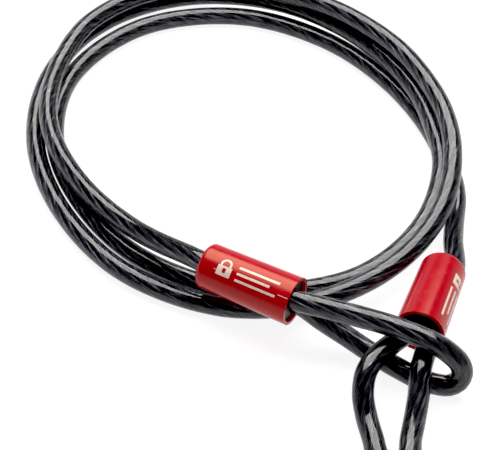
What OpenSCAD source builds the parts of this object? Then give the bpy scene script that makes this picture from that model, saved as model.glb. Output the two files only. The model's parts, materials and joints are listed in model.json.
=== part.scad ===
// Looped security cable: a plastic-covered steel rope with an eye at each end.
// The rope is doubled back into each eye and held by a crimped ferrule, and a
// moulded sleeve with a domed end covers each crimp. The cable lies in a loose
// coil of three turns, with one eye passed through the other.
// Millimetres, +Z up, the coil rests on z = 0.

/* [Cable] */
// Outside diameter of the plastic sheath
cable_d = 10; // [9:0.25:10]
// Diameter of the steel rope inside it
rope_d = 7; // [5.5:0.25:7]
// Clearance between the rope and the sheath
rope_gap = 0.3; // [0.2:0.05:0.4]
// Sides of the cable's cross-section
cable_sides = 10; // [8:1:12]
// Distance between cross-sections along the coil
coil_step = 28; // [24:1:32]
// Distance between cross-sections along the eyes
eye_step = 12; // [10:1:14]

/* [Sleeves] */
// Outside diameter of each end sleeve at its open end
sleeve_d = 23.3; // [23.1:0.1:23.4]
// How much narrower it is at its closed end
sleeve_taper = 1.2; // [0.2:0.1:1.2]
// Length of each end sleeve
sleeve_l = 48; // [47:1:49]
// Radius of the rounded shoulder at the closed end
dome_r = 3; // [1:0.25:3.5]
// Wall of the closed end
dome_wall = 2.5; // [2:0.5:4]
// Bore of the sleeve around the ferrule
cavity_d = 19.2; // [19.2:0.1:19.6]
// Bore of the open mouth
mouth_d = 20.4; // [20.4:0.1:20.8]
// Depth of the open mouth
mouth_depth = 6; // [5:0.5:7]

/* [Ferrules] */
// Length of each crimped ferrule
ferrule_l = 26; // [22:1:27]
// Width across the two rope bores
ferrule_w = 18.8; // [18.4:0.1:18.9]
// Thickness over the crimped flats
ferrule_t = 12.4; // [11:0.2:14]
// Diameter of each rope bore
bore_d = 7.2; // [7.2:0.05:7.4]

/* [Mouth plugs] */
// How far the plug stays back from the sleeve's rim
plug_back = 1.5; // [1:0.25:2.5]
// Thickness of the plug's base disc
plug_base = 2; // [1.5:0.25:2]

/* [Display] */
// Name of the single piece to draw, or all of them

/* [Hidden] */

$fn = 64;

smoke = [0.16, 0.16, 0.18];
steel = [0.60, 0.61, 0.63];
alloy = [0.66, 0.67, 0.69];
red = [0.72, 0.02, 0.09];
black = [0.05, 0.05, 0.06];

// Coil centre. It places the middle of the whole footprint at x = y = 0.
hub = [0.1, 42.4, 0];

// Distance from a sleeve's axis to each of the two strands in it
strand = 5.05;
// How far the coil's sheath runs into the closed end of a sleeve
sheath_in = 8;
// How far an eye's sheath runs into the mouth of a sleeve
eye_in = 5.5;
// How far it stays straight in front of the mouth
eye_out = 2;
// How far the rope's cut end stays from the closed end of a sleeve
rope_end = 12;
// The ferrule starts this far from the closed end
ferrule_at = 9.5;

// Sleeves: middle, heading from closed end to mouth, rise, and the turn about
// the axis that puts the coil's strand in its place. Middles are from the hub.
mid_a = [4.75, -117.4, 22.9];
yaw_a = -29;
rise_a = 0;
spin_a = 210;
mid_b = [89.9, -120.4, 14.6];
yaw_b = -110;
rise_b = 8;
spin_b = 90;

// The coil, clockwise from above: angle, radius and height of the cable's
// centre about the hub. It climbs over itself in long low humps.
coil = [
    [150, 91.5, 15.6], [180, 100.5, 16.2], [210, 113.5, 15.8], [225, 122.5, 15.4],
    [240, 126, 15.6], [255, 123.5, 16.6], [270, 116, 19.4], [285, 107, 22.4],
    [300, 102, 25.1], [315, 99.5, 25.9], [330, 100, 25.8], [345, 101.5, 25.8],
    [360, 106, 25.2], [375, 111.5, 24], [390, 117.5, 19.5], [405, 121.5, 15.6],
    [420, 123, 12], [435, 121.5, 8.2], [450, 118, 5.4], [480, 110, 5], [510, 104.5, 5],
    [540, 109, 5], [570, 120.5, 5], [585, 126.5, 5], [600, 129.5, 5], [615, 127, 6.5],
    [630, 119.5, 9], [645, 110.5, 12], [660, 102.5, 14.6], [675, 98.5, 15.4],
    [690, 97.5, 15.4], [705, 98.5, 15.4], [720, 101, 15.2], [735, 107, 14],
    [750, 110.5, 8.5], [765, 112.5, 6], [780, 113, 5], [810, 106.5, 5], [840, 98, 5],
    [870, 93.5, 5], [900, 98.5, 5], [930, 108, 5], [960, 112, 5], [990, 106, 5],
    [1020, 97, 5], [1050, 94.5, 5], [1080, 103.5, 5]
];
// Rows of the list above at which the second and the third turn begin
turn_2 = 18;
turn_3 = 37;

// From the closed end of each sleeve to the coil, from the hub
lead_a = [[-25, -101.3, 25], [-36, -92, 21.6], [-50, -78.3, 17]];
lead_b = [[110, -45.5, 5], [107.6, -59.5, 5.6], [105, -76, 7.9]];

// The eyes, from the hub. The first stands on its edge and the second lies
// through it, over its lower strand and under its upper one.
eye_a = [
    [39, -132.8, 13.2], [50.5, -138.5, 8.5], [59, -143.5, 5.5], [73, -154, 5],
    [82, -160, 5], [88.5, -162.6, 5], [94.5, -163.8, 5.6], [98.5, -163.4, 8.4],
    [99.8, -162.3, 12.8], [98.3, -161, 17.8], [94, -159.3, 22.4], [87.5, -157, 26.4],
    [79, -153.3, 28.3], [67, -147.6, 28.4], [54, -142.3, 28], [37, -136, 27.4]
];
eye_b = [
    [84.2, -152.5, 17.2], [81.5, -160.5, 15.6], [79.5, -174, 11], [77, -185, 7],
    [75, -193, 5], [73.9, -200.5, 5], [72, -205.3, 5], [66.8, -207.4, 5],
    [61.6, -205.3, 5], [59.8, -200.5, 5], [58.7, -193, 5], [56.5, -182.5, 6],
    [55, -172, 11], [56.8, -163.5, 15], [62, -155.5, 16.4], [69.3, -149.2, 17.5]
];

// ---- directions in a sleeve ----
function heading(yaw, rise) =
    [cos(yaw) * cos(rise), sin(yaw) * cos(rise), sin(rise)];
function across(yaw, rise, spin) =
    cos(spin) * [cos(yaw) * sin(rise), sin(yaw) * sin(rise), -cos(rise)]
    + sin(spin) * [-sin(yaw), cos(yaw), 0];
// Point in a sleeve: along its axis from the closed end, and to one side
function spot(mid, yaw, rise, spin, along, side) =
    mid + heading(yaw, rise) * (along - sleeve_l / 2)
    + across(yaw, rise, spin) * side;
function spot_a(along, side) = spot(mid_a, yaw_a, rise_a, spin_a, along, side);
function spot_b(along, side) = spot(mid_b, yaw_b, rise_b, spin_b, along, side);

// ---- routes ----
coil_points = [for (k = coil) [k[1] * cos(-k[0]), k[1] * sin(-k[0]), k[2]]];
main_route = concat(
    [spot_a(sheath_in, strand), spot_a(0, strand)], lead_a, coil_points, lead_b,
    [spot_b(0, strand), spot_b(sheath_in, strand)]
);
eye_a_route = concat(
    [spot_a(sleeve_l - eye_in, -strand), spot_a(sleeve_l + eye_out, -strand)],
    eye_a,
    [spot_a(sleeve_l + eye_out, strand), spot_a(sleeve_l - eye_in, strand)]
);
eye_b_route = concat(
    [spot_b(sleeve_l - eye_in, strand), spot_b(sleeve_l + eye_out, strand)],
    eye_b,
    [spot_b(sleeve_l + eye_out, -strand), spot_b(sleeve_l - eye_in, -strand)]
);

// ---- a smooth curve through a route's points ----
function unit(v) = v / norm(v);
function slope(p, i) =
    i == 0 ? unit(p[1] - p[0])
    : i == len(p) - 1 ? unit(p[i] - p[i - 1])
    : let (a = norm(p[i] - p[i - 1]), b = norm(p[i + 1] - p[i]))
        ((p[i] - p[i - 1]) / a * b + (p[i + 1] - p[i]) / b * a) / (a + b);
function between(p, i, u) =
    let (d = norm(p[i + 1] - p[i]))
    (2 * pow(u, 3) - 3 * pow(u, 2) + 1) * p[i]
    + (pow(u, 3) - 2 * pow(u, 2) + u) * d * slope(p, i)
    + (3 * pow(u, 2) - 2 * pow(u, 3)) * p[i + 1]
    + (pow(u, 3) - pow(u, 2)) * d * slope(p, i + 1);
// The cable's centre never comes nearer to the ground than its radius
function resting(q) = [q[0], q[1], max(q[2], cable_d / 2)];
function centres(p, step) = concat(
    [for (i = [0 : len(p) - 2])
        let (n = max(1, round(norm(p[i + 1] - p[i]) / step)))
        for (k = [0 : n - 1]) resting(between(p, i, k / n))],
    [p[len(p) - 1]]
);
// Number of cross-sections before point m of a route
function count_to(p, step, m) = m == 0 ? 0
    : count_to(p, step, m - 1)
        + max(1, round(norm(p[m] - p[m - 1]) / step));

main_centres = centres(main_route, coil_step);
eye_a_centres = centres(eye_a_route, eye_step);
eye_b_centres = centres(eye_b_route, eye_step);
cut_2 = count_to(main_route, coil_step, turn_2 + 5);
cut_3 = count_to(main_route, coil_step, turn_3 + 5);

// ---- a round tube or bar along a line of centres ----
function ahead(c) = [for (i = [0 : len(c) - 1])
    unit(c[min(i + 1, len(c) - 1)] - c[max(i - 1, 0)])];
function carried(t) = [
    for (i = 0, v = unit(cross(t[0], [0.1, 0.2, 1])); i < len(t);
        i = i + 1, v = i < len(t) ? unit(v - (v * t[i]) * t[i]) : v) v
];
function ring_points(c, d) =
    let (t = ahead(c), v = carried(t))
    [for (i = [0 : len(c) - 1]) for (j = [0 : cable_sides - 1])
        let (a = 360 * j / cable_sides)
        c[i] + d / 2 * (cos(a) * v[i] + sin(a) * cross(t[i], v[i]))];
// Triangles between cross-sections, numbered from start
function skin(n, start, outward) =
    [for (i = [0 : n - 2]) for (j = [0 : cable_sides - 1])
        let (a = start + i * cable_sides + j,
            b = start + i * cable_sides + (j + 1) % cable_sides,
            c = a + cable_sides, e = b + cable_sides)
        for (f = outward ? [[a, c, e], [a, e, b]] : [[a, e, c], [a, b, e]]) f];
// Flat ring that closes the tube at one end
function rim(outer, inner, first) =
    [for (j = [0 : cable_sides - 1])
        let (k = (j + 1) % cable_sides, a = outer + j, b = outer + k,
            c = inner + j, e = inner + k)
        for (f = first ? [[a, b, e], [a, e, c]] : [[a, e, b], [a, c, e]]) f];

// Tube between two of the cross-sections along a line of centres
module tube(c, d, bore, first, last) {
    n = last - first + 1;
    s = cable_sides;
    outer = ring_points(c, d);
    inner = ring_points(c, bore);
    polyhedron(
        points = concat(
            [for (i = [first * s : (last + 1) * s - 1]) outer[i]],
            [for (i = [first * s : (last + 1) * s - 1]) inner[i]]
        ),
        faces = concat(
            skin(n, 0, true), skin(n, n * s, false),
            rim(0, n * s, true), rim((n - 1) * s, (2 * n - 1) * s, false)
        ),
        convexity = 10
    );
}

// Solid bar along the whole line of centres
module bar(c, d) {
    n = len(c);
    s = cable_sides;
    polyhedron(
        points = ring_points(c, d),
        faces = concat(
            skin(n, 0, true),
            [[for (j = [0 : s - 1]) j]],
            [[for (j = [s - 1 : -1 : 0]) (n - 1) * s + j]]
        ),
        convexity = 10
    );
}

// ---- placing ----
module at_end(mid, yaw, rise, spin) {
    translate(hub + mid)
        rotate([0, 90 - rise, yaw])
            rotate([0, 0, spin])
                translate([0, 0, -sleeve_l / 2])
                    children();
}
module at_a() { at_end(mid_a, yaw_a, rise_a, spin_a) children(); }
module at_b() { at_end(mid_b, yaw_b, rise_b, spin_b) children(); }

// ---- pieces ----
module sheath(c, first, last) {
    color(smoke) translate(hub)
        tube(c, cable_d, rope_d + 2 * rope_gap, first, last);
}

module sheath_turn_1() { sheath(main_centres, 0, cut_2); }
module sheath_turn_2() { sheath(main_centres, cut_2, cut_3); }
module sheath_turn_3() { sheath(main_centres, cut_3, len(main_centres) - 1); }
module sheath_eye_a() { sheath(eye_a_centres, 0, len(eye_a_centres) - 1); }
module sheath_eye_b() { sheath(eye_b_centres, 0, len(eye_b_centres) - 1); }

// One rope runs from its cut end in the first ferrule, round the first eye,
// back through that ferrule, along the coil, and ends in the second ferrule.
module rope() {
    color(steel) translate(hub) bar(concat(
        [spot_a(rope_end, -strand)], eye_a_centres, main_centres,
        eye_b_centres, [spot_b(rope_end, -strand)]
    ), rope_d);
}

module ferrule() {
    color(alloy) translate([0, 0, ferrule_at]) difference() {
        linear_extrude(ferrule_l) intersection() {
            circle(d = ferrule_w);
            square([ferrule_w, ferrule_t], center = true);
        }
        for (side = [-1, 1])
            translate([side * strand, 0, -1])
                cylinder(h = ferrule_l + 2, d = bore_d);
    }
}

module ferrule_a() { at_a() ferrule(); }
module ferrule_b() { at_b() ferrule(); }

// Tapered cup with a rounded closed end. The coil's strand goes in through a
// hole beside the axis, and both strands of the eye come out of the open mouth.
module sleeve() {
    r = (sleeve_d - sleeve_taper) / 2;
    color(red) difference() {
        rotate_extrude() difference() {
            union() {
                polygon([
                    [0, dome_r], [r, dome_r],
                    [sleeve_d / 2, sleeve_l], [0, sleeve_l]
                ]);
                square([r - dome_r, sleeve_l]);
                translate([r - dome_r, dome_r]) circle(r = dome_r);
            }
            translate([0, dome_wall]) square([cavity_d / 2, sleeve_l]);
            translate([0, sleeve_l - mouth_depth])
                square([mouth_d / 2, mouth_depth + 1]);
            translate([-sleeve_d, -1]) square([sleeve_d, sleeve_l + 2]);
        }
        translate([strand, 0, -1])
            cylinder(h = sheath_in + 1.5, d = cable_d + 0.6);
    }
}

module sleeve_a() { at_a() sleeve(); }
module sleeve_b() { at_b() sleeve(); }

// Black stopper in the mouth: a disc behind the ends of the eye's sheath, with
// a hole for each strand of rope, and two lobes that fill the space beside them.
module mouth_plug() {
    floor_z = sleeve_l - mouth_depth + 0.1;
    color(black) difference() {
        union() {
            translate([0, 0, floor_z - plug_base])
                cylinder(h = plug_base, d = cavity_d - 0.2);
            translate([0, 0, floor_z]) difference() {
                cylinder(h = mouth_depth - 0.1 - plug_back, d = mouth_d - 0.2);
                for (side = [-1, 1])
                    translate([side * strand, 0, 0.15])
                        cylinder(h = mouth_depth, d = cable_d + 0.3);
            }
        }
        for (side = [-1, 1])
            translate([side * strand, 0, 0])
                cylinder(h = sleeve_l, d = rope_d + 0.3);
    }
}

module mouth_plug_a() { at_a() mouth_plug(); }
module mouth_plug_b() { at_b() mouth_plug(); }

sheath_turn_1();
sheath_turn_2();
sheath_turn_3();
sheath_eye_a();
sheath_eye_b();
rope();
ferrule_a();
ferrule_b();
sleeve_a();
sleeve_b();
mouth_plug_a();
mouth_plug_b();
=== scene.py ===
"""Looped security cable: the visible model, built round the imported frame."""
import json
import math

import bmesh
import bpy
import numpy as np
from mathutils import Matrix, Vector

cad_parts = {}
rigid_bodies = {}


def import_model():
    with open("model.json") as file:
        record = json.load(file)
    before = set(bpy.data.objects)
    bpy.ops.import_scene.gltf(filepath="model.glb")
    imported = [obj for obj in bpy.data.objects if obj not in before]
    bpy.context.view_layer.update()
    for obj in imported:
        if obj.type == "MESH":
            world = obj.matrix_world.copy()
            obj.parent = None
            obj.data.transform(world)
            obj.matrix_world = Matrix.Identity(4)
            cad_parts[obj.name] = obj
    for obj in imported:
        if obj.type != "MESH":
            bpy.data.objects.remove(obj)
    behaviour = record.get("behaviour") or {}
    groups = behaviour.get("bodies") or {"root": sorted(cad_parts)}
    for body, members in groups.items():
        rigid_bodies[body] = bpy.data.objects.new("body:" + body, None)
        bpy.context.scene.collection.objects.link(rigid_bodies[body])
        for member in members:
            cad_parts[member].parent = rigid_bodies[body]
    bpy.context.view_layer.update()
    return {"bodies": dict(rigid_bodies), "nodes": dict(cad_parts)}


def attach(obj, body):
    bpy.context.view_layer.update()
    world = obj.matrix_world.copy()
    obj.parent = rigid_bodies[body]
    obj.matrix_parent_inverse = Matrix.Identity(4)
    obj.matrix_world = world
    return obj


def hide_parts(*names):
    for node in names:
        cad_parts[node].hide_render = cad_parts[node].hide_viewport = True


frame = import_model()
BODY = next(iter(frame["bodies"]))
MM = 0.001

# ------------------------------------------------------------ sizes, metres
CABLE_R = 0.005            # outside radius of the sheath
SLEEVE_L = 0.048
SLEEVE_CLOSED_R = 0.01105  # outside radius behind the closed end
SLEEVE_OPEN_R = 0.01165    # outside radius at the mouth
SLEEVE_ROUND = 0.003       # rounding of the closed end
STRAND = 0.00505           # from a sleeve's axis to each strand in it
SHEATH_IN = 0.008          # coil's sheath inside the domed end
EYE_IN = 0.0055            # eye's sheath inside the mouth
EYE_OUT = 0.002            # straight stretch in front of the mouth
ROPE_END = 0.012           # rope's cut end, from the domed end
HUB = np.array([0.1, 42.4, 0]) * MM

# Sleeves: middle from the hub, heading, rise and turn about the axis
MID_A, YAW_A, RISE_A, SPIN_A = np.array([4.75, -117.4, 22.9]) * MM, -29, 0, 210
MID_B, YAW_B, RISE_B, SPIN_B = np.array([89.9, -120.4, 14.6]) * MM, -110, 8, 90

# The coil, clockwise from above: angle in degrees, radius and height
COIL = [
    (150, 0.0915, 0.0156), (180, 0.1005, 0.0162), (210, 0.1135, 0.0158),
    (225, 0.1225, 0.0154), (240, 0.126, 0.0156), (255, 0.1235, 0.0166),
    (270, 0.116, 0.0194), (285, 0.107, 0.0224), (300, 0.102, 0.0251),
    (315, 0.0995, 0.0259), (330, 0.1, 0.0258), (345, 0.1015, 0.0258),
    (360, 0.106, 0.0252), (375, 0.1115, 0.024), (390, 0.1175, 0.0195),
    (405, 0.1215, 0.0156), (420, 0.123, 0.012), (435, 0.1215, 0.0082),
    (450, 0.118, 0.0054), (480, 0.11, 0.005), (510, 0.1045, 0.005),
    (540, 0.109, 0.005), (570, 0.1205, 0.005), (585, 0.1265, 0.005),
    (600, 0.1295, 0.005), (615, 0.127, 0.0065), (630, 0.1195, 0.009),
    (645, 0.1105, 0.012), (660, 0.1025, 0.0146), (675, 0.0985, 0.0154),
    (690, 0.0975, 0.0154), (705, 0.0985, 0.0154), (720, 0.101, 0.0152),
    (735, 0.107, 0.014), (750, 0.1105, 0.0085), (765, 0.1125, 0.006),
    (780, 0.113, 0.005), (810, 0.1065, 0.005), (840, 0.098, 0.005),
    (870, 0.0935, 0.005), (900, 0.0985, 0.005), (930, 0.108, 0.005),
    (960, 0.112, 0.005), (990, 0.106, 0.005), (1020, 0.097, 0.005),
    (1050, 0.0945, 0.005), (1080, 0.1035, 0.005),
]
LEAD_A = [
    (-0.025, -0.1013, 0.025), (-0.036, -0.092, 0.0216), (-0.05, -0.0783, 0.017),
]
LEAD_B = [
    (0.11, -0.0455, 0.005), (0.1076, -0.0595, 0.0056), (0.105, -0.076, 0.0079),
]
EYE_A = [
    (0.039, -0.1328, 0.0132), (0.0505, -0.1385, 0.0085), (0.059, -0.1435, 0.0055),
    (0.073, -0.154, 0.005), (0.082, -0.16, 0.005), (0.0885, -0.1626, 0.005),
    (0.0945, -0.1638, 0.0056), (0.0985, -0.1634, 0.0084), (0.0998, -0.1623, 0.0128),
    (0.0983, -0.161, 0.0178), (0.094, -0.1593, 0.0224), (0.0875, -0.157, 0.0264),
    (0.079, -0.1533, 0.0283), (0.067, -0.1476, 0.0284), (0.054, -0.1423, 0.028),
    (0.037, -0.136, 0.0274),
]
EYE_B = [
    (0.0842, -0.1525, 0.0172), (0.0815, -0.1605, 0.0156), (0.0795, -0.174, 0.011),
    (0.077, -0.185, 0.007), (0.075, -0.193, 0.005), (0.0739, -0.2005, 0.005),
    (0.072, -0.2053, 0.005), (0.0668, -0.2074, 0.005), (0.0616, -0.2053, 0.005),
    (0.0598, -0.2005, 0.005), (0.0587, -0.193, 0.005), (0.0565, -0.1825, 0.006),
    (0.055, -0.172, 0.011), (0.0568, -0.1635, 0.015), (0.062, -0.1555, 0.0164),
    (0.0693, -0.1492, 0.0175),
]


# ------------------------------------------------------------ directions
def heading(yaw, rise):
    y, p = math.radians(yaw), math.radians(rise)
    return np.array([math.cos(y) * math.cos(p), math.sin(y) * math.cos(p), math.sin(p)])


def across(yaw, rise, spin):
    y, p, s = (math.radians(v) for v in (yaw, rise, spin))
    down = np.array([math.cos(y) * math.sin(p), math.sin(y) * math.sin(p), -math.cos(p)])
    side = np.array([-math.sin(y), math.cos(y), 0.0])
    return math.cos(s) * down + math.sin(s) * side


def spot(mid, yaw, rise, spin, along, side):
    """Point from the hub in a sleeve: along its axis and to one side."""
    return mid + heading(yaw, rise) * (along - SLEEVE_L / 2) + across(yaw, rise, spin) * side


def spot_a(along, side):
    return spot(MID_A, YAW_A, RISE_A, SPIN_A, along, side)


def spot_b(along, side):
    return spot(MID_B, YAW_B, RISE_B, SPIN_B, along, side)


def sleeve_matrix(mid, yaw, rise, spin):
    """Local frame of a sleeve: +Z from its domed end to its mouth, +X to the coil's strand."""
    z, x = heading(yaw, rise), across(yaw, rise, spin)
    y = np.cross(z, x)
    at = HUB + mid - z * SLEEVE_L / 2
    m = Matrix([[x[i], y[i], z[i], at[i]] for i in range(3)] + [[0, 0, 0, 1]])
    return m


# ------------------------------------------------------------ routes
def smooth(points, step):
    """Points about step apart on one smooth curve through the route's points."""
    p = np.array(points, float)
    d = np.linalg.norm(np.diff(p, axis=0), axis=1)
    chord = np.diff(p, axis=0) / d[:, None]
    m = np.vstack([
        chord[:1],
        (chord[:-1] * d[1:, None] + chord[1:] * d[:-1, None]) / (d[1:] + d[:-1])[:, None],
        chord[-1:],
    ])
    out = []
    for i in range(len(p) - 1):
        n = max(1, round(d[i] / step))
        u = (np.arange(n) / n)[:, None]
        out.append((2 * u**3 - 3 * u**2 + 1) * p[i] + (u**3 - 2 * u**2 + u) * d[i] * m[i]
                   + (3 * u**2 - 2 * u**3) * p[i + 1] + (u**3 - u**2) * d[i] * m[i + 1])
    out = np.vstack(out + [p[-1:]])
    out[:, 2] = np.maximum(out[:, 2], CABLE_R)
    return out


def arc_lengths(c):
    return np.concatenate([[0.0], np.cumsum(np.linalg.norm(np.diff(c, axis=0), axis=1))])


def carried_frames(c):
    """Tangents and two normals that turn as little as they can along the line."""
    t = np.gradient(c, axis=0)
    t /= np.linalg.norm(t, axis=1)[:, None]
    v = np.empty_like(t)
    first = np.cross(t[0], [0.1, 0.2, 1.0])
    v[0] = first / np.linalg.norm(first)
    for i in range(1, len(t)):
        w = v[i - 1] - t[i] * np.dot(v[i - 1], t[i])
        v[i] = w / np.linalg.norm(w)
    return t, v, np.cross(t, v)


coil_points = [np.array([r * math.cos(math.radians(-a)), r * math.sin(math.radians(-a)), z])
               for a, r, z in COIL]
main_route = ([spot_a(SHEATH_IN, STRAND), spot_a(0, STRAND)] + LEAD_A + coil_points
              + LEAD_B + [spot_b(0, STRAND), spot_b(SHEATH_IN, STRAND)])
eye_a_route = ([spot_a(SLEEVE_L - EYE_IN, -STRAND), spot_a(SLEEVE_L + EYE_OUT, -STRAND)]
               + EYE_A
               + [spot_a(SLEEVE_L + EYE_OUT, STRAND), spot_a(SLEEVE_L - EYE_IN, STRAND)])
eye_b_route = ([spot_b(SLEEVE_L - EYE_IN, STRAND), spot_b(SLEEVE_L + EYE_OUT, STRAND)]
               + EYE_B
               + [spot_b(SLEEVE_L + EYE_OUT, -STRAND), spot_b(SLEEVE_L - EYE_IN, -STRAND)])


# ------------------------------------------------------------ the camera
LOOK_AT = Vector((0.0051, -0.0206, 0.005))
CAM_DIST = 0.7
CAM_EL = math.radians(46)
cam_data = bpy.data.cameras.new("camera")
cam_data.lens = 100.8
cam_data.sensor_width = 36.0
cam_data.clip_start, cam_data.clip_end = 0.01, 20.0
camera = bpy.data.objects.new("camera", cam_data)
bpy.context.collection.objects.link(camera)
camera.location = LOOK_AT + CAM_DIST * Vector((0, -math.cos(CAM_EL), math.sin(CAM_EL)))
camera.rotation_euler = (math.radians(90) - CAM_EL, 0, 0)
bpy.context.scene.camera = camera


# ------------------------------------------------------------ meshes
def mesh_object(name, verts, faces, material=None, smooth_shade=True):
    me = bpy.data.meshes.new(name)
    me.from_pydata([tuple(v) for v in verts], [], [tuple(f) for f in faces])
    me.update()
    if smooth_shade:
        me.polygons.foreach_set("use_smooth", [True] * len(me.polygons))
    ob = bpy.data.objects.new(name, me)
    bpy.context.collection.objects.link(ob)
    if material is not None:
        me.materials.append(material)
    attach(ob, BODY)
    return ob


def tube_mesh(name, c, radius, sides, material):
    """Closed round bar along c. radius(s, angle) gives each point's distance."""
    t, v, b = carried_frames(c)
    s = arc_lengths(c)
    ang = np.arange(sides) * 2 * math.pi / sides
    r = radius(s[:, None], ang[None, :])
    rings = (c[:, None, :] + r[..., None] * (np.cos(ang)[None, :, None] * v[:, None, :]
                                              + np.sin(ang)[None, :, None] * b[:, None, :]))
    n = len(c)
    i, j = np.meshgrid(np.arange(n - 1), np.arange(sides), indexing="ij")
    k = (j + 1) % sides
    quads = np.stack([i * sides + j, i * sides + k, (i + 1) * sides + k,
                      (i + 1) * sides + j], axis=-1).reshape(-1, 4)
    verts = rings.reshape(-1, 3)
    faces = [list(map(int, q)) for q in quads]
    faces.append(list(range(sides - 1, -1, -1)))
    faces.append(list(range((n - 1) * sides, n * sides)))
    ob = mesh_object(name, verts, faces, material)
    me = ob.data
    uv = me.uv_layers.new(name="along")
    co = np.zeros((len(me.loops), 2))
    nq = len(quads)
    ii, jj = i.reshape(-1), j.reshape(-1)
    for corner, (di, dj) in enumerate(((0, 0), (0, 1), (1, 1), (1, 0))):
        co[corner:nq * 4:4, 0] = (jj + dj) / sides
        co[corner:nq * 4:4, 1] = s[ii + di]
    uv.data.foreach_set("uv", co.reshape(-1))
    return ob


# ------------------------------------------------------------ materials
def new_material(name):
    m = bpy.data.materials.new(name)
    m.use_nodes = True
    bsdf = m.node_tree.nodes["Principled BSDF"]
    return m, m.node_tree, bsdf


def noise(tree, vector, scale, detail=2.0, rough=0.5):
    n = tree.nodes.new("ShaderNodeTexNoise")
    n.inputs["Scale"].default_value = scale
    n.inputs["Detail"].default_value = detail
    n.inputs["Roughness"].default_value = rough
    if vector is not None:
        tree.links.new(vector, n.inputs["Vector"])
    return n.outputs["Fac"]


def ramp(tree, fac, stops):
    r = tree.nodes.new("ShaderNodeValToRGB")
    tree.links.new(fac, r.inputs["Fac"])
    while len(r.color_ramp.elements) < len(stops):
        r.color_ramp.elements.new(0.5)
    for e, (pos, col) in zip(r.color_ramp.elements, stops):
        e.position = pos
        e.color = (*col, 1) if len(col) == 3 else col
    return r.outputs["Color"]


def mapped(tree, source, scale):
    m = tree.nodes.new("ShaderNodeMapping")
    m.inputs["Scale"].default_value = scale
    tree.links.new(source, m.inputs["Vector"])
    return m.outputs["Vector"]


def bump(tree, height, bsdf, strength, distance):
    b = tree.nodes.new("ShaderNodeBump")
    b.inputs["Strength"].default_value = strength
    b.inputs["Distance"].default_value = distance
    tree.links.new(height, b.inputs["Height"])
    tree.links.new(b.outputs["Normal"], bsdf.inputs["Normal"])


def object_coords(tree):
    return tree.nodes.new("ShaderNodeTexCoord").outputs["Object"]


def uv_coords(tree):
    u = tree.nodes.new("ShaderNodeUVMap")
    u.uv_map = "along"
    return u.outputs["UV"]


def sheath_material():
    m, tree, bsdf = new_material("smoke_sheath")
    bsdf.inputs["Base Color"].default_value = (0.2, 0.2, 0.22, 1)
    bsdf.inputs["Transmission Weight"].default_value = 1.0
    bsdf.inputs["IOR"].default_value = 1.5
    bsdf.inputs["Specular IOR Level"].default_value = 0.9
    obj = object_coords(tree)
    rough = ramp(tree, noise(tree, obj, 160, 3), [(0.35, (0.05,) * 3), (0.7, (0.12,) * 3)])
    tree.links.new(rough, bsdf.inputs["Roughness"])
    bump(tree, noise(tree, mapped(tree, uv_coords(tree), (2.0, 60.0, 1.0)), 1.0, 1.0),
         bsdf, 0.02, 0.001)
    return m


WIRE_TURN = -33.3          # turns a metre of the wires in a strand


def rope_material():
    m, tree, bsdf = new_material("wire_strand")
    uv = uv_coords(tree)
    # The wires are laid against the strands, so they run along the rope
    parts = tree.nodes.new("ShaderNodeSeparateXYZ")
    tree.links.new(uv, parts.inputs[0])
    slope = tree.nodes.new("ShaderNodeMath")
    slope.operation = "MULTIPLY_ADD"
    slope.inputs[1].default_value = WIRE_TURN
    tree.links.new(parts.outputs["Y"], slope.inputs[0])
    tree.links.new(parts.outputs["X"], slope.inputs[2])
    around = tree.nodes.new("ShaderNodeCombineXYZ")
    tree.links.new(slope.outputs[0], around.inputs["X"])
    tree.links.new(parts.outputs["Y"], around.inputs["Y"])
    wires = tree.nodes.new("ShaderNodeTexWave")
    wires.wave_type = "BANDS"
    wires.bands_direction = "X"
    wires.inputs["Scale"].default_value = 2.83
    wires.inputs["Distortion"].default_value = 0.0
    tree.links.new(around.outputs[0], wires.inputs["Vector"])
    streak = noise(tree, mapped(tree, around.outputs[0], (5.0, 110.0, 1.0)), 1.0, 3.0, 0.6)
    mix = tree.nodes.new("ShaderNodeMath")
    mix.operation = "MULTIPLY_ADD"
    tree.links.new(wires.outputs["Fac"], mix.inputs[0])
    mix.inputs[1].default_value = 0.22
    tree.links.new(streak, mix.inputs[2])
    col = ramp(tree, mix.outputs[0], [(0.38, (0.035, 0.035, 0.042)), (0.6, (0.1, 0.1, 0.12)),
                                      (0.8, (0.5, 0.51, 0.57))])
    tree.links.new(col, bsdf.inputs["Base Color"])
    bsdf.inputs["Metallic"].default_value = 0.7
    bsdf.inputs["Roughness"].default_value = 0.38
    bump(tree, wires.outputs["Fac"], bsdf, 0.3, 0.0001)
    return m


def sleeve_material():
    m, tree, bsdf = new_material("red_sleeve")
    obj = object_coords(tree)
    col = ramp(tree, noise(tree, obj, 60, 2),
               [(0.3, (0.26, 0.0, 0.009)), (0.7, (0.29, 0.0, 0.011))])
    tree.links.new(col, bsdf.inputs["Base Color"])
    rough = ramp(tree, noise(tree, obj, 220, 4, 0.6), [(0.4, (0.2,) * 3), (0.75, (0.3,) * 3)])
    tree.links.new(rough, bsdf.inputs["Roughness"])
    bsdf.inputs["Specular IOR Level"].default_value = 0.5
    bsdf.inputs["Specular Tint"].default_value = (1.0, 0.62, 0.38, 1)
    # Painted light: the sleeves glow faintly red, though no lamp is in them, so that their shaded
    # lower halves stay bright
    bsdf.inputs["Emission Color"].default_value = (1.0, 0.0, 0.03, 1)
    bsdf.inputs["Emission Strength"].default_value = 0.09
    bump(tree, noise(tree, obj, 350, 3), bsdf, 0.02, 0.0002)
    return m


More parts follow.
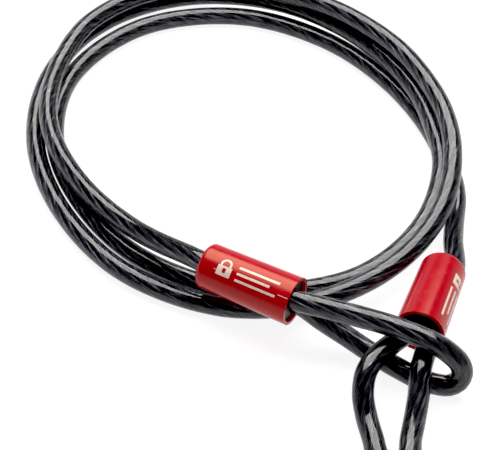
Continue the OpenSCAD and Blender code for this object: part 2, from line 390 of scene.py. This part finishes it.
# Pale paint of the print; on the mould line the same pale colour is a painted highlight
def print_and_highlight_material():
    m, tree, bsdf = new_material("pale_print_and_highlight")
    worn = noise(tree, object_coords(tree), 500, 4, 0.7)
    col = ramp(tree, worn, [(0.3, (0.55, 0.4, 0.34)), (0.5, (0.68, 0.58, 0.5))])
    tree.links.new(col, bsdf.inputs["Base Color"])
    bsdf.inputs["Roughness"].default_value = 0.45
    return m


def plug_material():
    m, tree, bsdf = new_material("black_resin")
    obj = object_coords(tree)
    col = ramp(tree, noise(tree, obj, 900, 2, 0.5), [(0.62, (0.006, 0.007, 0.007)),
                                                    (0.78, (0.12, 0.13, 0.12))])
    tree.links.new(col, bsdf.inputs["Base Color"])
    rough = ramp(tree, noise(tree, obj, 400, 3), [(0.3, (0.3,) * 3), (0.7, (0.5,) * 3)])
    tree.links.new(rough, bsdf.inputs["Roughness"])
    bump(tree, noise(tree, obj, 500, 4, 0.6), bsdf, 0.5, 0.0004)
    return m


def ferrule_material():
    m, tree, bsdf = new_material("pressed_alloy")
    obj = object_coords(tree)
    col = ramp(tree, noise(tree, obj, 120, 3),
               [(0.3, (0.5, 0.51, 0.53)), (0.7, (0.62, 0.63, 0.65))])
    tree.links.new(col, bsdf.inputs["Base Color"])
    rough = ramp(tree, noise(tree, mapped(tree, obj, (60, 60, 900)), 1.0, 3),
                 [(0.3, (0.3,) * 3), (0.7, (0.48,) * 3)])
    tree.links.new(rough, bsdf.inputs["Roughness"])
    bsdf.inputs["Metallic"].default_value = 1.0
    bump(tree, noise(tree, obj, 600, 3), bsdf, 0.15, 0.0002)
    return m


sheath_mat = sheath_material()
rope_mat = rope_material()
sleeve_mat = sleeve_material()
for name, mat in (("sleeve", sleeve_mat), ("mouth_plug", plug_material()),
                  ("ferrule", ferrule_material())):
    for end in ("a", "b"):
        node = frame["nodes"][f"{name}_{end}"]
        node.data.materials.clear()
        node.data.materials.append(mat)

# ------------------------------------------------------------ the cords
FINE = 0.002               # step along a sheath
main_line = HUB + smooth(main_route, FINE)
eye_a_line = HUB + smooth(eye_a_route, FINE)
eye_b_line = HUB + smooth(eye_b_route, FINE)
LAY = 0.09                 # one turn of the rope's strands
STRANDS = 6
WIRE_R = 0.00116           # radius of one strand
PRINT_THROUGH = 0.00002    # how far the strands show in the sheath's surface
SHEATH_SIDES = 24
WIRE_SIDES = 8


def sheath_radius(offset):
    """Radius of a sheath whose ripple starts offset metres into its turn."""
    def radius(s, a):
        ripple = np.cos(STRANDS * (a - 2 * math.pi * (s + offset) / LAY))
        return CABLE_R - PRINT_THROUGH + PRINT_THROUGH * ripple
    return radius


def wire_radius(s, a):
    return WIRE_R + 0 * (s + a)


def sheath_tube(name, line, offset):
    return tube_mesh(name, line, sheath_radius(offset), SHEATH_SIDES, sheath_mat)


sheath_main = sheath_tube("sheath_main", main_line, 0.0)
sheath_a = sheath_tube("sheath_loop_a", eye_a_line, 0.013)
sheath_b = sheath_tube("sheath_loop_b", eye_b_line, 0.027)
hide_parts("sheath_turn_1", "sheath_turn_2", "sheath_turn_3")
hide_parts("sheath_eye_a")
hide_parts("sheath_eye_b")

# The rope: six strands laid round a core, in one length through everything
ROPE_STEP = 0.003
rope_line = HUB + np.vstack([
    [spot_a(ROPE_END, -STRAND)], smooth(eye_a_route, ROPE_STEP),
    smooth(main_route, ROPE_STEP), smooth(eye_b_route, ROPE_STEP),
    [spot_b(ROPE_END, -STRAND)],
])
keep = np.concatenate([[True], np.linalg.norm(np.diff(rope_line, axis=0), axis=1) > 1e-6])
rope_line = rope_line[keep]
_, rope_v, rope_b = carried_frames(rope_line)
rope_s = arc_lengths(rope_line)
strands = [tube_mesh("rope_core", rope_line, wire_radius, WIRE_SIDES, rope_mat)]
for k in range(STRANDS):
    phi = 2 * math.pi * k / STRANDS + 2 * math.pi * rope_s / LAY
    line = rope_line + 2 * WIRE_R * (np.cos(phi)[:, None] * rope_v + np.sin(phi)[:, None] * rope_b)
    strands.append(tube_mesh(f"rope_strand_{k + 1}", line, wire_radius, WIRE_SIDES,
                             rope_mat))
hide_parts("rope")


# ------------------------------------------------------------ print on the sleeves
PRINT_LIFT = 0.00004       # top of the print above the sleeve
PRINT_SINK = 0.00008       # its underside below the sleeve's surface


def on_sleeve(matrix, along, angle, lift):
    """Point on a sleeve's tapered side, lift above its surface."""
    r = (SLEEVE_CLOSED_R + (SLEEVE_OPEN_R - SLEEVE_CLOSED_R)
         * (along - SLEEVE_ROUND) / (SLEEVE_L - SLEEVE_ROUND) + lift)
    return matrix @ Vector((r * math.cos(angle), r * math.sin(angle), along))


def bar(u0, u1, v0, v1, nu=8, nv=4):
    """Flat patch, as a grid of points along and across the sleeve."""
    return [[(u0 + (u1 - u0) * i / nu, v0 + (v1 - v0) * j / nv) for j in range(nv + 1)]
            for i in range(nu + 1)]


def arch(cu, cv, r0, r1, a0, a1, n=20):
    """Part of a flat ring, from angle a0 to a1 in degrees."""
    out = []
    for i in range(n + 1):
        a = math.radians(a0 + (a1 - a0) * i / n)
        out.append([(cu + r * math.cos(a), cv + r * math.sin(a)) for r in (r0, (r0 + r1) / 2, r1)])
    return out


def printed(name, matrix, middle, turn, patches, material):
    """Thin raised patches on a sleeve. Patches are drawn along it and upward."""
    verts, faces = [], []
    for patch in patches:
        nu, nv = len(patch), len(patch[0])
        base = len(verts)
        for lift in (PRINT_LIFT, -PRINT_SINK):
            for row in patch:
                for u, v in row:
                    verts.append(on_sleeve(matrix, middle + u,
                                           math.radians(turn) - v / SLEEVE_OPEN_R, lift))
        low = nu * nv

        def at(i, j, layer):
            return base + layer * low + i * nv + j

        for i in range(nu - 1):
            for j in range(nv - 1):
                faces.append((at(i, j, 0), at(i + 1, j, 0), at(i + 1, j + 1, 0), at(i, j + 1, 0)))
                faces.append((at(i, j + 1, 1), at(i + 1, j + 1, 1), at(i + 1, j, 1), at(i, j, 1)))
            for j, flip in ((0, True), (nv - 1, False)):
                q = (at(i, j, 0), at(i + 1, j, 0), at(i + 1, j, 1), at(i, j, 1))
                faces.append(q[::-1] if flip else q)
        for j in range(nv - 1):
            for i, flip in ((0, False), (nu - 1, True)):
                q = (at(i, j, 0), at(i, j + 1, 0), at(i, j + 1, 1), at(i, j, 1))
                faces.append(q[::-1] if flip else q)
    ob = mesh_object(name, verts, faces, material, smooth_shade=False)
    bm = bmesh.new()
    bm.from_mesh(ob.data)
    bmesh.ops.recalc_face_normals(bm, faces=bm.faces)
    bm.to_mesh(ob.data)
    bm.free()
    return ob


# A padlock sign and three bars, drawn along the sleeve (u) and up it (v)
PADLOCK = [
    bar(-0.0155, -0.0083, -0.0038, -0.0022),
    bar(-0.0155, -0.0127, -0.0022, 0.0002),
    bar(-0.0111, -0.0083, -0.0022, 0.0002),
    bar(-0.0155, -0.0083, 0.0002, 0.0012),
    bar(-0.0147, -0.0137, 0.0012, 0.0022, 2),
    bar(-0.0101, -0.0091, 0.0012, 0.0022, 2),
    arch(-0.0119, 0.0022, 0.0018, 0.0028, 0, 180),
]
BARS = [
    bar(-0.0055, 0.0155, 0.0026, 0.0038, 20),
    bar(-0.0055, 0.0115, -0.0006, 0.0006, 16),
    bar(-0.0055, 0.0155, -0.0038, -0.0026, 20),
]
print_and_highlight_paint = print_and_highlight_material()
frame_a = sleeve_matrix(MID_A, YAW_A, RISE_A, SPIN_A)
frame_b = sleeve_matrix(MID_B, YAW_B, RISE_B, SPIN_B)
printed("print_a", frame_a, 0.026, 0, PADLOCK + BARS, print_and_highlight_paint)
printed("print_b", frame_b, 0.0265, 30, PADLOCK + BARS, print_and_highlight_paint)
# The mould line is a real raised ridge; its pale colour, only on the two lit stretches, is a
# painted highlight
printed("mould_line_highlight_a", frame_a, 0.045, 9, [bar(-0.0362, -0.0335, -0.0001, 0.0001),
                                            bar(-0.0025, 0.0026, -0.00015, 0.00015)], print_and_highlight_paint)


# ------------------------------------------------------------ floor and light
# The floor glows a little, as a light table does, so that it carries no shadow
def floor_material():
    m, tree, bsdf = new_material("floor_paper")
    bsdf.inputs["Base Color"].default_value = (0.18, 0.18, 0.18, 1)
    bsdf.inputs["Roughness"].default_value = 1.0
    bsdf.inputs["Specular IOR Level"].default_value = 0.0
    bsdf.inputs["Emission Color"].default_value = (1.0, 1.0, 1.0, 1)
    bsdf.inputs["Emission Strength"].default_value = 0.9
    return m


floor = bpy.data.objects.new("floor", bpy.data.meshes.new("floor"))
floor.data.from_pydata([(-4, -4, 0), (4, -4, 0), (4, 4, 0), (-4, 4, 0)], [], [(0, 1, 2, 3)])
floor.data.materials.append(floor_material())
bpy.context.collection.objects.link(floor)


def softbox(name, location, target, size_x, size_y, power, colour=(1, 1, 1)):
    data = bpy.data.lights.new(name, "AREA")
    data.shape = "RECTANGLE"
    data.size, data.size_y = size_x, size_y
    data.energy = power
    data.color = colour
    ob = bpy.data.objects.new(name, data)
    ob.location = location
    ob.rotation_euler = (Vector(target) - Vector(location)).to_track_quat("-Z", "Y").to_euler()
    bpy.context.collection.objects.link(ob)
    return ob


# One large softbox hangs from overhead down to the back, a little to the right
KEY_DIST = 1.15
KEY_EL = math.radians(116)     # measured from the camera's side up and over
key_at = Vector((0.05, -math.cos(KEY_EL) * KEY_DIST, math.sin(KEY_EL) * KEY_DIST))
softbox("key_softbox", key_at, (0, 0, 0), 1.35, 1.15, 35.0, (1.0, 0.98, 0.94))

world = bpy.data.worlds.new("studio")
world.use_nodes = True
wt = world.node_tree
sep = wt.nodes.new("ShaderNodeSeparateXYZ")
wt.links.new(wt.nodes.new("ShaderNodeTexCoord").outputs["Generated"], sep.inputs[0])
band = ramp(wt, sep.outputs["Z"], [(0.2, (1.0,) * 3), (0.36, (0.1,) * 3)])
side = ramp(wt, sep.outputs["Y"], [(0.0, (0.3,) * 3), (0.5, (0.85,) * 3)])
sky = wt.nodes.new("ShaderNodeMix")
sky.data_type = "RGBA"
sky.blend_type = "MULTIPLY"
sky.inputs["Factor"].default_value = 1.0
wt.links.new(band, sky.inputs["A"])
wt.links.new(side, sky.inputs["B"])
wt.links.new(sky.outputs["Result"], wt.nodes["Background"].inputs["Color"])
wt.nodes["Background"].inputs["Strength"].default_value = 1.0
bpy.context.scene.world = world
view = bpy.context.scene.view_settings
view.view_transform = "Standard"
view.use_curve_mapping = True
view.curve_mapping.black_level = (0.012, 0.012, 0.012)
view.curve_mapping.update()
